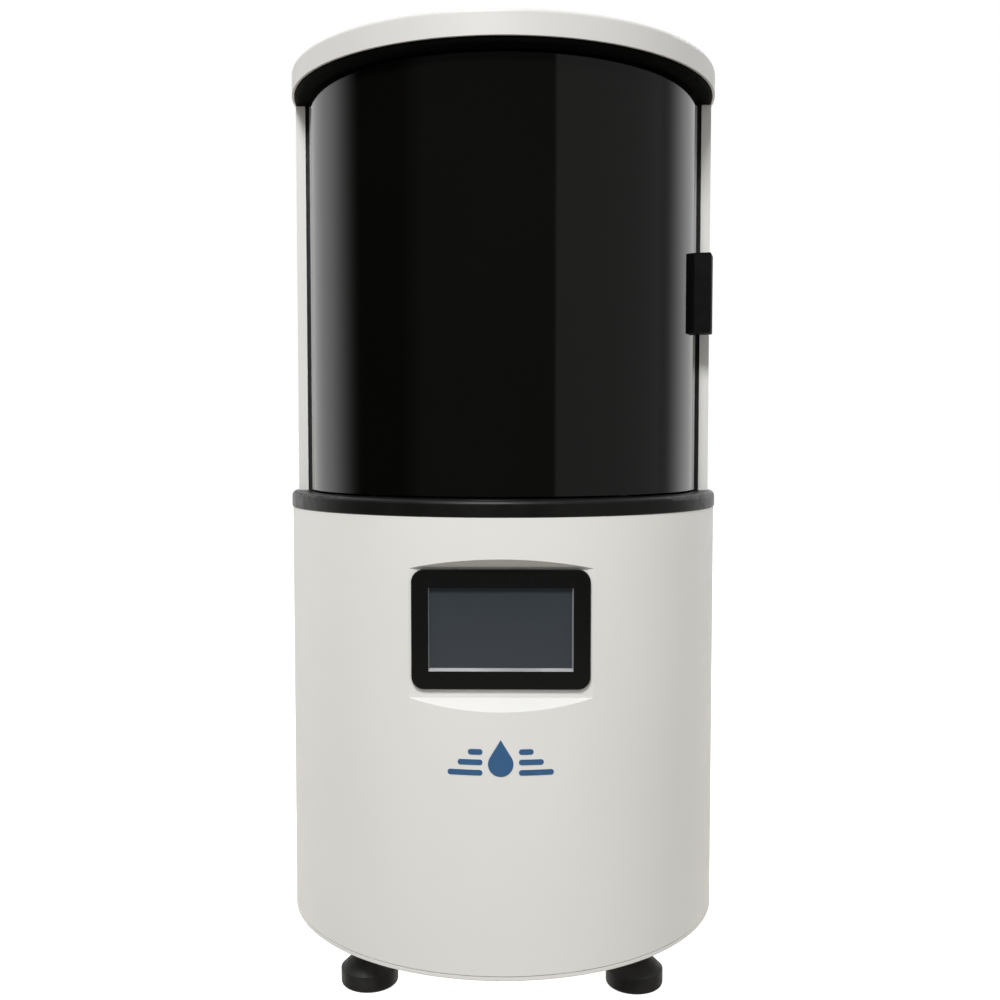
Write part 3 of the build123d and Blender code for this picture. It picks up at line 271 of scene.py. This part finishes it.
def solder_mask(name):
    """Green board with raised tracks under its mask."""
    f = Finish(name, (0.012, 0.11, 0.035), 0.3)
    tracks = f.spread(f.sum(f.bands(90, "X", 3.0), f.bands(70, "Y", 4.0), "MULTIPLY"), 0.35, 0.45)
    f.color(f.between(tracks, (0.008, 0.07, 0.024), (0.018, 0.16, 0.055)))
    f.relief(tracks, 0.00003, 0.5)
    return f.material


def foot_finish(name):
    """Moulded rubber pad below, zinc-plated stud above."""
    f = Finish(name, (0.012, 0.012, 0.012), 0.55, Specular_IOR_Level=0.35)
    pad_top, thread_bands = 24.5 * MM, 500
    stud = f.spread(f.axis("Z"), pad_top - 0.1 * MM, pad_top + 0.1 * MM)
    rubber = f.between(f.spread(f.noise(70, 4), 0.35, 0.75), (0.007, 0.007, 0.007), (0.02, 0.02, 0.02))
    f.color(f.between(stud, rubber, (0.5, 0.5, 0.48)))
    f.link(stud, f.surface.inputs["Metallic"])
    f.roughness(f.spread(f.noise(300, 3), 0.3, 0.7, 0.42, 0.6))
    thread = f.sum(f.bands(thread_bands, "Z"), stud, "MULTIPLY")
    f.relief(thread, 0.0003, 0.8)
    f.relief(f.noise(1100, 2), 0.00003, 0.5)
    return f.material


WHITE = (0.80, 0.795, 0.77)
CAP_WHITE = (0.64, 0.637, 0.62)
BLACK = (0.0045, 0.0045, 0.0043)

finishes = {
    "white": powder_coat("white_powder_coat", WHITE),
    "cap": powder_coat("cap_powder_coat", CAP_WHITE, 0.98),
    "deck": fine_grain("black_anodised_plate", shade(BLACK, 0.85), 0.38, gloss=0.3),
    # painted shade: the roof plate's black is 0.4 of BLACK, against 0.85 for the deck plate, standing in for
    # the shadow under the cap's overhang
    "roof": fine_grain("black_roof_plate_painted_shade", shade(BLACK, 0.4), 0.8, gloss=0.05),
    "plastic": fine_grain("black_moulded_plastic", (0.012, 0.012, 0.012), 0.46, 1800),
    "handle": fine_grain("handle_black", (0.0026, 0.0026, 0.0026), 0.7, 1500, gloss=0.12),
    "dark_anodised": fine_grain("dark_anodised", (0.02, 0.02, 0.021), 0.36, 2200, 0.6),
    "door": gloss_black("smoked_acrylic", (0.0022, 0.0021, 0.0016), 0.035, IOR=1.49),
    "bezel": gloss_black("bezel_gloss", (0.004, 0.004, 0.0039), 0.16, 0.08, IOR=1.49),
    "screen": unlit_panel("unlit_screen_painted_shade"),
    "badge": printed_ink("badge_blue", (0.035, 0.115, 0.25)),
    "foot": foot_finish("foot_rubber_and_stud"),
    "aluminium": brushed_metal("satin_aluminium", (0.62, 0.63, 0.64), 0.34, "X"),
    "column": brushed_metal("extruded_aluminium", (0.6, 0.61, 0.62), 0.32, "Z"),
    "platform": anodised("blasted_platform", (0.55, 0.555, 0.56), 0.46),
    "vat": anodised("amber_anodised", (0.75, 0.23, 0.025), 0.32),
    "steel": brushed_metal("bright_steel", (0.55, 0.55, 0.56), 0.28, "Z"),
    "ground": brushed_metal("ground_steel", (0.62, 0.62, 0.63), 0.16, "Z"),
    "bronze": brushed_metal("turned_bronze", (0.55, 0.34, 0.12), 0.34, "X"),
    "sheet": cast_or_sheet("galvanised_sheet", (0.5, 0.52, 0.53), 0.42),
    "board": solder_mask("solder_mask"),
    "lead": moulded_rubber("lead_jacket", (0.02, 0.02, 0.021)),
    "seal": moulded_rubber("foam_seal", (0.012, 0.012, 0.012)),
    "rim": fine_grain("panel_frame", (0.30, 0.30, 0.31), 0.38, 1600),
    "pale_plastic": fine_grain("pale_socket_plastic", (0.42, 0.41, 0.37), 0.4, 1600),
    "glass": clear_sheet("clear_glass", (0.93, 0.97, 0.95), 1.0),
    "film": clear_sheet("release_film", (0.95, 0.95, 0.95), 0.4, 0.1),
}

node_finish = {
    "lower_shell": "white", "base_plate": "white", "back_shell": "white", "top_cap": "cap",
    "deck_plate": "deck", "roof_plate": "roof", "rear_panel": "deck",
    "door_panel": "door", "door_stiles": "plastic", "door_handle": "handle",
    "door_handle_screws": "steel", "door_hinge_pins": "steel", "door_hinge_bushes": "bronze",
    "screen_bezel": "bezel", "lcd_frame": "plastic", "lcd_glass": "screen", "badge": "badge",
    "circuit_boards": "board", "posts_and_spacers": "aluminium", "mounting_brackets": "sheet",
    "body_fasteners": "steel", "window_glass": "glass", "side_seals": "seal",
    "z_column": "column", "linear_rails": "ground", "lead_screw": "ground",
    "screw_bearings": "steel", "shaft_coupler": "aluminium", "z_motor": "plastic",
    "z_limit_switch": "plastic", "rail_blocks": "steel", "carriage_plate": "aluminium",
    "carriage_screws": "steel", "lead_nut": "bronze", "platform_arm": "dark_anodised",
    "platform_clamp": "aluminium", "build_platform": "platform", "platform_knob": "plastic",
    "vat_frame": "vat", "vat_film": "film", "vat_film_ring": "steel", "vat_clamps": "dark_anodised",
    "vat_knob_left": "plastic", "vat_knob_right": "plastic", "projector_shelf": "sheet",
    "projector_body": "plastic", "projector_lens": "dark_anodised", "lens_glass": "glass",
    "power_supply": "sheet", "fan_frame": "plastic", "fan_rotor": "plastic", "fan_guard": "steel",
    "power_inlet": "plastic", "power_rocker": "plastic", "usb_port": "steel", "internal_leads": "lead",
    "levelling_foot_1": "foot", "levelling_foot_2": "foot",
    "levelling_foot_3": "foot", "levelling_foot_4": "foot",
}
for node, finish in node_finish.items():
    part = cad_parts[node]
    part.data.materials.clear()
    part.data.materials.append(finishes[finish])


# ---------------------------------------------------------------- detail pieces
def finished(name, mesh_data, finish, body, smooth_angle=35):
    """Makes an object from bmesh data, with its material, smoothing and body."""
    mesh = bpy.data.meshes.new(name)
    mesh_data.to_mesh(mesh)
    mesh_data.free()
    piece = bpy.data.objects.new(name, mesh)
    bpy.context.scene.collection.objects.link(piece)
    mesh.materials.append(finishes[finish])
    mesh.polygons.foreach_set("use_smooth", [True] * len(mesh.polygons))
    mesh.set_sharp_from_angle(angle=math.radians(smooth_angle))
    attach(piece, body)
    return piece


def frame_of(axis):
    """The direction of an axis, and two directions across it."""
    along = Vector(axis).normalized()
    across = along.orthogonal().normalized()
    return along, across, along.cross(across)


def skin_rings(mesh_data, rings):
    """Joins closed rings of vertices, all of one length, into a surface with flat ends."""
    for ring, following in zip(rings, rings[1:]):
        for step in range(len(ring)):
            after = (step + 1) % len(ring)
            mesh_data.faces.new((ring[step], ring[after], following[after], following[step]))
    mesh_data.faces.new(rings[0][::-1])
    mesh_data.faces.new(rings[-1])


def lathe(mesh_data, profile, origin, axis, steps=32):
    """Turns a profile of (radius, distance along the axis) into a surface; a radius may be a
    function of the angle, as for a hexagonal socket."""
    along, across, up = frame_of(axis)
    rings = []
    for radius, distance in profile:
        ring = []
        for step in range(steps):
            angle = math.tau * step / steps
            reach = radius(angle) if callable(radius) else radius
            outward = across * math.cos(angle) + up * math.sin(angle)
            ring.append(mesh_data.verts.new(Vector(origin) + along * distance + outward * reach))
        rings.append(ring)
    skin_rings(mesh_data, rings)


def rounded_block(mesh_data, low, high, edge):
    """A block between two corners with rounded edges."""
    size = Vector(high) - Vector(low)
    place = Matrix.Translation((Vector(high) + Vector(low)) / 2) @ Matrix.Diagonal((*size, 1))
    made = bmesh.ops.create_cube(mesh_data, size=1, matrix=place)
    edges = list({e for v in made["verts"] for e in v.link_edges})
    bmesh.ops.bevel(mesh_data, geom=edges, offset=edge, segments=2, affect="EDGES", profile=0.5)


def hexagon(apothem):
    """Radius of a hexagon with this apothem, as a function of the angle."""
    sixth = math.tau / 6
    return lambda angle: apothem / math.cos(angle % sixth - sixth / 2)


def button_head(mesh_data, place, axis, radius, height):
    """A domed screw head with a hexagonal socket, standing on its place."""
    socket = hexagon(radius * 0.48)
    profile = [
        (radius, 0), (radius, height * 0.25), (radius * 0.93, height * 0.6), (radius * 0.78, height * 0.9),
        (radius * 0.62, height), (socket, height), (socket, height * 0.35),
    ]
    lathe(mesh_data, profile, place, axis, steps=36)


def add_screen_rim():
    """The panel's metal frame, a sloped edge inside the bezel's window, widest along the bottom."""
    low, high, _ = corners("lcd_glass")
    glass_y, front_y = low.y - 0.1 * MM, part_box("screen_bezel")[0].y + 0.5 * MM
    left, right, top, bottom = 0.5 * MM, 0.9 * MM, 0.3 * MM, 1.8 * MM
    outer = [(low.x, low.z), (high.x, low.z), (high.x, high.z), (low.x, high.z)]
    inner = [
        (low.x + left, low.z + bottom), (high.x - right, low.z + bottom),
        (high.x - right, high.z - top), (low.x + left, high.z - top),
    ]
    mesh_data = bmesh.new()
    loops = [
        [mesh_data.verts.new((x, y, z)) for x, z in outline]
        for outline, y in ((outer, glass_y), (outer, front_y), (inner, glass_y))
    ]
    for first, second in zip(loops, loops[1:] + loops[:1]):
        for corner in range(4):
            after = (corner + 1) % 4
            mesh_data.faces.new((first[corner], first[after], second[after], second[corner]))
    bmesh.ops.recalc_face_normals(mesh_data, faces=mesh_data.faces)
    finished("screen_rim", mesh_data, "rim", "housing", 10)


def thread_depth(turns):
    """Depth of a trapezoidal thread, from 0 on its crest to 1 in its root."""
    part = turns % 1.0
    return min(1.0, max(0.0, 2.0 - abs(part - 0.5) * 8.0 + 0.5))


def add_lead_screw():
    """A four-start thread of 8 mm lead on the screw, with the plain motor shaft below it."""
    low, high, middle = corners("lead_screw")
    lead, starts, depth = 8 * MM, 4, 0.7 * MM
    radius, shaft_radius, tip = (high.x - low.x) / 2, 2.5 * MM, 0.6 * MM
    root = radius - depth
    shaft_top = low.z + 27.5 * MM
    steps, row_height = 28, 0.4 * MM
    mesh_data = bmesh.new()
    rows = [(low.z, shaft_radius, False), (shaft_top, shaft_radius, False), (shaft_top, root, False)]
    count = int((high.z - tip - shaft_top) / row_height)
    rows += [(shaft_top + row_height * row, radius, True) for row in range(1, count)]
    rows += [(high.z - tip, root, False), (high.z, root - tip, False)]
    rings = []
    for z, reach, cut in rows:
        ring = []
        for step in range(steps):
            angle = math.tau * step / steps
            turns = starts * (z / lead - angle / math.tau)
            r = reach - depth * thread_depth(turns) if cut else reach
            x, y = middle.x + r * math.cos(angle), middle.y + r * math.sin(angle)
            ring.append(mesh_data.verts.new((x, y, z)))
        rings.append(ring)
    skin_rings(mesh_data, rings)
    piece = finished("lead_screw_thread", mesh_data, "ground", "screw", 30)
    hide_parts("lead_screw")


def add_rear_panel_screws():
    """Button heads up both sides of the rear panel."""
    panel_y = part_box("rear_panel")[1].y
    fan_low, fan_high, _ = corners("fan_guard")
    inlet_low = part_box("power_inlet")[0]
    half_width = 46 * MM
    bottom, top = inlet_low.z - 6 * MM, fan_high.z + 12 * MM
    middle = (inlet_low.z + fan_low.z) / 2 + 12 * MM
    mesh_data = bmesh.new()
    for x in (-half_width, half_width):
        for z in (bottom, middle, top):
            button_head(mesh_data, (x, panel_y, z), (0, 1, 0), 3.0 * MM, 1.7 * MM)
    finished("rear_panel_screws", mesh_data, "steel", "housing")


def add_shell_screws():
    """Button heads that hold the rear shell to its brackets and to the roof."""
    low, high, _ = corners("back_shell")
    radius, from_edge = high.x, 11 * MM
    mesh_data = bmesh.new()
    for angle in (110, 150, 210, 250):
        out = Vector((math.sin(math.radians(angle)), -math.cos(math.radians(angle)), 0))
        for z in (low.z + from_edge, high.z - from_edge):
            button_head(mesh_data, out * radius + Vector((0, 0, z)), out, 3.2 * MM, 1.6 * MM)
    finished("shell_screws", mesh_data, "dark_anodised", "housing")


def add_base_screws():
    """Heads under the base plate that hold the projector shelf's legs."""
    shelf = corners("projector_shelf")[2]
    base_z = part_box("base_plate")[0].z
    half_width, half_depth = 76 * MM, 61 * MM
    mesh_data = bmesh.new()
    for x in (-half_width, half_width):
        for y in (shelf.y - half_depth, shelf.y + half_depth):
            button_head(mesh_data, (x, y, base_z), (0, 0, -1), 4.0 * MM, 2.0 * MM)
    finished("base_screws", mesh_data, "steel", "housing")


def add_supply_terminals():
    """A barrier strip of screw terminals in the power supply's front recess."""
    low, _, middle = corners("power_supply")
    count, pitch, end = 9, 9.5 * MM, 1 * MM
    depth, floor, wall_top, half_rib = 10.5 * MM, 5 * MM, 13 * MM, 0.8 * MM
    left, right = middle.x - pitch * count / 2, middle.x + pitch * count / 2
    y, z = low.y + 0.6 * MM, low.z + 8.2 * MM
    strip, screws = bmesh.new(), bmesh.new()
    rounded_block(strip, (left - end, y, z), (right + end, y + depth, z + floor), 0.4 * MM)
    for rib in range(count + 1):
        x = left + pitch * rib
        near, far = (x - half_rib, y, z + 4 * MM), (x + half_rib, y + 10 * MM, z + wall_top)
        rounded_block(strip, near, far, 0.3 * MM)
    for terminal in range(count):
        x = left + pitch * (terminal + 0.5)
        button_head(screws, (x, y + 5 * MM, z + floor), (0, 0, 1), 3.0 * MM, 1.8 * MM)
    finished("supply_terminal_strip", strip, "plastic", "housing")
    finished("supply_terminal_screws", screws, "steel", "housing")


def add_heat_sink(board_z):
    """Seven fins on a base plate, over the control board's processor."""
    left, right, front, back = -30 * MM, -10 * MM, -94 * MM, -74 * MM
    z = board_z + 4.6 * MM
    base_t, fin_foot, fin_top = 2 * MM, 1.5 * MM, 10 * MM
    first_fin, fin_pitch, fin_t = left + 0.8 * MM, 2.9 * MM, 1.1 * MM
    sink = bmesh.new()
    rounded_block(sink, (left, front, z), (right, back, z + base_t), 0.3 * MM)
    for fin in range(7):
        x = first_fin + fin_pitch * fin
        rounded_block(sink, (x, front, z + fin_foot), (x + fin_t, back, z + fin_top), 0.25 * MM)
    finished("board_heat_sink", sink, "aluminium", "housing")


def add_capacitors(surface_z):
    """Round cans, each given by its place, radius and height in millimetres."""
    cans = bmesh.new()
    for x, y, radius, height in ((52, -62, 5, 12), (52, -74, 5, 12), (54, -104, 4, 9), (8, -62, 3, 7)):
        side = [(radius * MM, 0), (radius * MM, (height - 1) * MM), ((radius - 0.8) * MM, height * MM)]
        lathe(cans, side, (x * MM, y * MM, surface_z), (0, 0, 1), 24)
    finished("board_capacitors", cans, "dark_anodised", "housing")


def add_sockets(surface_z):
    """A row of sockets along the left edge of the control board."""
    x, front, pitch = -38 * MM, -112 * MM, 9.5 * MM
    half_width, depth, height = 3 * MM, 7.5 * MM, 6 * MM
    sockets = bmesh.new()
    for number in range(6):
        y = front + pitch * number
        near, far = (x - half_width, y, surface_z), (x + half_width, y + depth, surface_z + height)
        rounded_block(sockets, near, far, 0.4 * MM)
    finished("board_sockets", sockets, "pale_plastic", "housing")


def add_board_parts():
    """What stands on the control board, which is the lower of the two circuit boards."""
    board_z, board_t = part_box("circuit_boards")[0].z, 1.6 * MM
    add_heat_sink(board_z)
    add_capacitors(board_z + board_t)
    add_sockets(board_z + board_t)


add_screen_rim()
add_lead_screw()
add_rear_panel_screws()
add_shell_screws()
add_base_screws()
add_supply_terminals()
add_board_parts()


# ---------------------------------------------------------------- stage
# Brightness of each part of the studio, where the white behind the object is 1, and the tint below.
SKY = 0.5
GROUND = 0.3
AMBIENT = 0.2
FRONT_LEFT = 0.012
FRONT_MIDDLE = 0.06
FRONT_RIGHT = 0.22
WARM = (1.0, 0.945, 0.86, 1.0)


def add_floor():
    """A pale floor that throws no light back on the object."""
    bpy.ops.mesh.primitive_plane_add(size=12)
    floor = bpy.context.object
    floor.name = "floor"
    f = Finish("pale_floor", (0.92, 0.92, 0.92), 0.9)
    f.color(f.between(f.spread(f.noise(2, 3), 0.3, 0.7), (0.90, 0.90, 0.90), (0.93, 0.93, 0.93)))
    f.surface.inputs["Emission Color"].default_value = (1, 1, 1, 1)
    f.surface.inputs["Emission Strength"].default_value = 0.9
    floor.data.materials.append(f.material)
    floor.visible_glossy = False
    floor.visible_diffuse = False


def add_area(name, place, target, size, power):
    """A rectangular lamp aimed at a target."""
    light = bpy.data.lights.new(name, "AREA")
    light.shape = "RECTANGLE"
    light.size, light.size_y = size
    light.energy = power
    lamp = bpy.data.objects.new(name, light)
    bpy.context.scene.collection.objects.link(lamp)
    lamp.location = place
    lamp.rotation_euler = (Vector(target) - Vector(place)).to_track_quat("-Z", "Y").to_euler()


def add_world():
    """White studio behind the object and a dim one in front of it, so that the dark door reflects
    white only at its sides. The camera itself sees plain white."""
    world = bpy.data.worlds.new("studio")
    bpy.context.scene.world = world
    world.use_nodes = True
    tree = world.node_tree
    new, link = tree.nodes.new, tree.links.new
    background = tree.nodes["Background"]
    direction = new("ShaderNodeTexCoord").outputs["Generated"]
    parts = new("ShaderNodeSeparateXYZ")
    link(direction, parts.inputs["Vector"])

    def math_node(operation, a, b):
        node = new("ShaderNodeMath")
        node.operation = operation
        for socket, value in zip(node.inputs, (a, b)):
            if isinstance(value, (int, float)):
                socket.default_value = value
            else:
                link(value, socket)
        return node.outputs["Value"]

    def step(value, low, high, to_low, to_high):
        node = new("ShaderNodeMapRange")
        node.interpolation_type = "SMOOTHSTEP"
        for socket, number in zip(("From Min", "From Max", "To Min", "To Max"), (low, high, to_low, to_high)):
            node.inputs[socket].default_value = number
        link(value, node.inputs["Value"])
        return node.outputs["Result"]

    azimuth = math_node("ARCTAN2", parts.outputs["X"], math_node("MULTIPLY", parts.outputs["Y"], -1.0))
    white_left = step(azimuth, math.radians(-88), math.radians(-120), 0.0, 1.0)
    white_right = step(azimuth, math.radians(101), math.radians(133), 0.0, 1.0)
    white_back = math_node("ADD", white_left, white_right)
    dim_left = step(azimuth, math.radians(-60), math.radians(-42), 0.0, FRONT_MIDDLE)
    dim_right = math_node(
        "MULTIPLY",
        step(azimuth, math.radians(29), math.radians(31), 0.0, FRONT_RIGHT),
        step(azimuth, math.radians(99), math.radians(112), 1.0, 0.0),
    )
    level = math_node("ADD", math_node("ADD", white_back, dim_right), FRONT_LEFT)
    level = math_node("ADD", level, dim_left)
    above = step(parts.outputs["Z"], 0.32, 0.50, 0.0, SKY)
    below = step(parts.outputs["Z"], -0.30, -0.12, GROUND, 0.0)
    glow = math_node("MAXIMUM", math_node("MAXIMUM", level, above), below)
    rays = new("ShaderNodeLightPath")
    glow = math_node("ADD", glow, math_node("MULTIPLY", rays.outputs["Is Diffuse Ray"], AMBIENT))
    mix = new("ShaderNodeMix")
    mix.inputs["A"].default_value = 0
    mix.inputs["B"].default_value = 1.0
    link(rays.outputs["Is Camera Ray"], mix.inputs["Factor"])
    link(glow, mix.inputs["A"])
    link(mix.outputs["Result"], background.inputs["Strength"])
    tint = new("ShaderNodeMix")
    tint.data_type = "RGBA"
    white, warm = [i for i in tint.inputs if i.type == "RGBA"]
    white.default_value, warm.default_value = (1, 1, 1, 1), WARM
    link(step(parts.outputs["Z"], -0.05, -0.3, 0.0, 1.0), tint.inputs["Factor"])
    link([o for o in tint.outputs if o.type == "RGBA"][0], background.inputs["Color"])


add_floor()
add_world()
add_area("key", (-0.33, -1.85, 2.2), (0, 0, 0.35), (0.6, 0.6), 50)
add_area("top", (-0.3, -0.2, 2.6), (0, 0, 0.6), (0.8, 0.8), 2.5)


def add_camera():
    """A 42 mm lens a little above the object's middle, looking slightly down."""
    focal_px, image_px, sensor_mm = 1156.0, 1000.0, 36.0
    distance, height, side = 0.949, 0.4096, -0.0026
    pitch, swing = math.radians(3.12), math.radians(0.72)
    data = bpy.data.cameras.new("camera")
    data.sensor_width = sensor_mm
    data.lens = focal_px / image_px * sensor_mm
    camera = bpy.data.objects.new("camera", data)
    bpy.context.scene.collection.objects.link(camera)
    turn = Matrix.Rotation(swing, 4, "Z")
    camera.matrix_world = (
        turn @ Matrix.Translation((side, -distance, height)) @ Matrix.Rotation(math.pi / 2 - pitch, 4, "X")
    )
    bpy.context.scene.camera = camera


add_camera()
bpy.context.scene.view_settings.view_transform = "Standard"
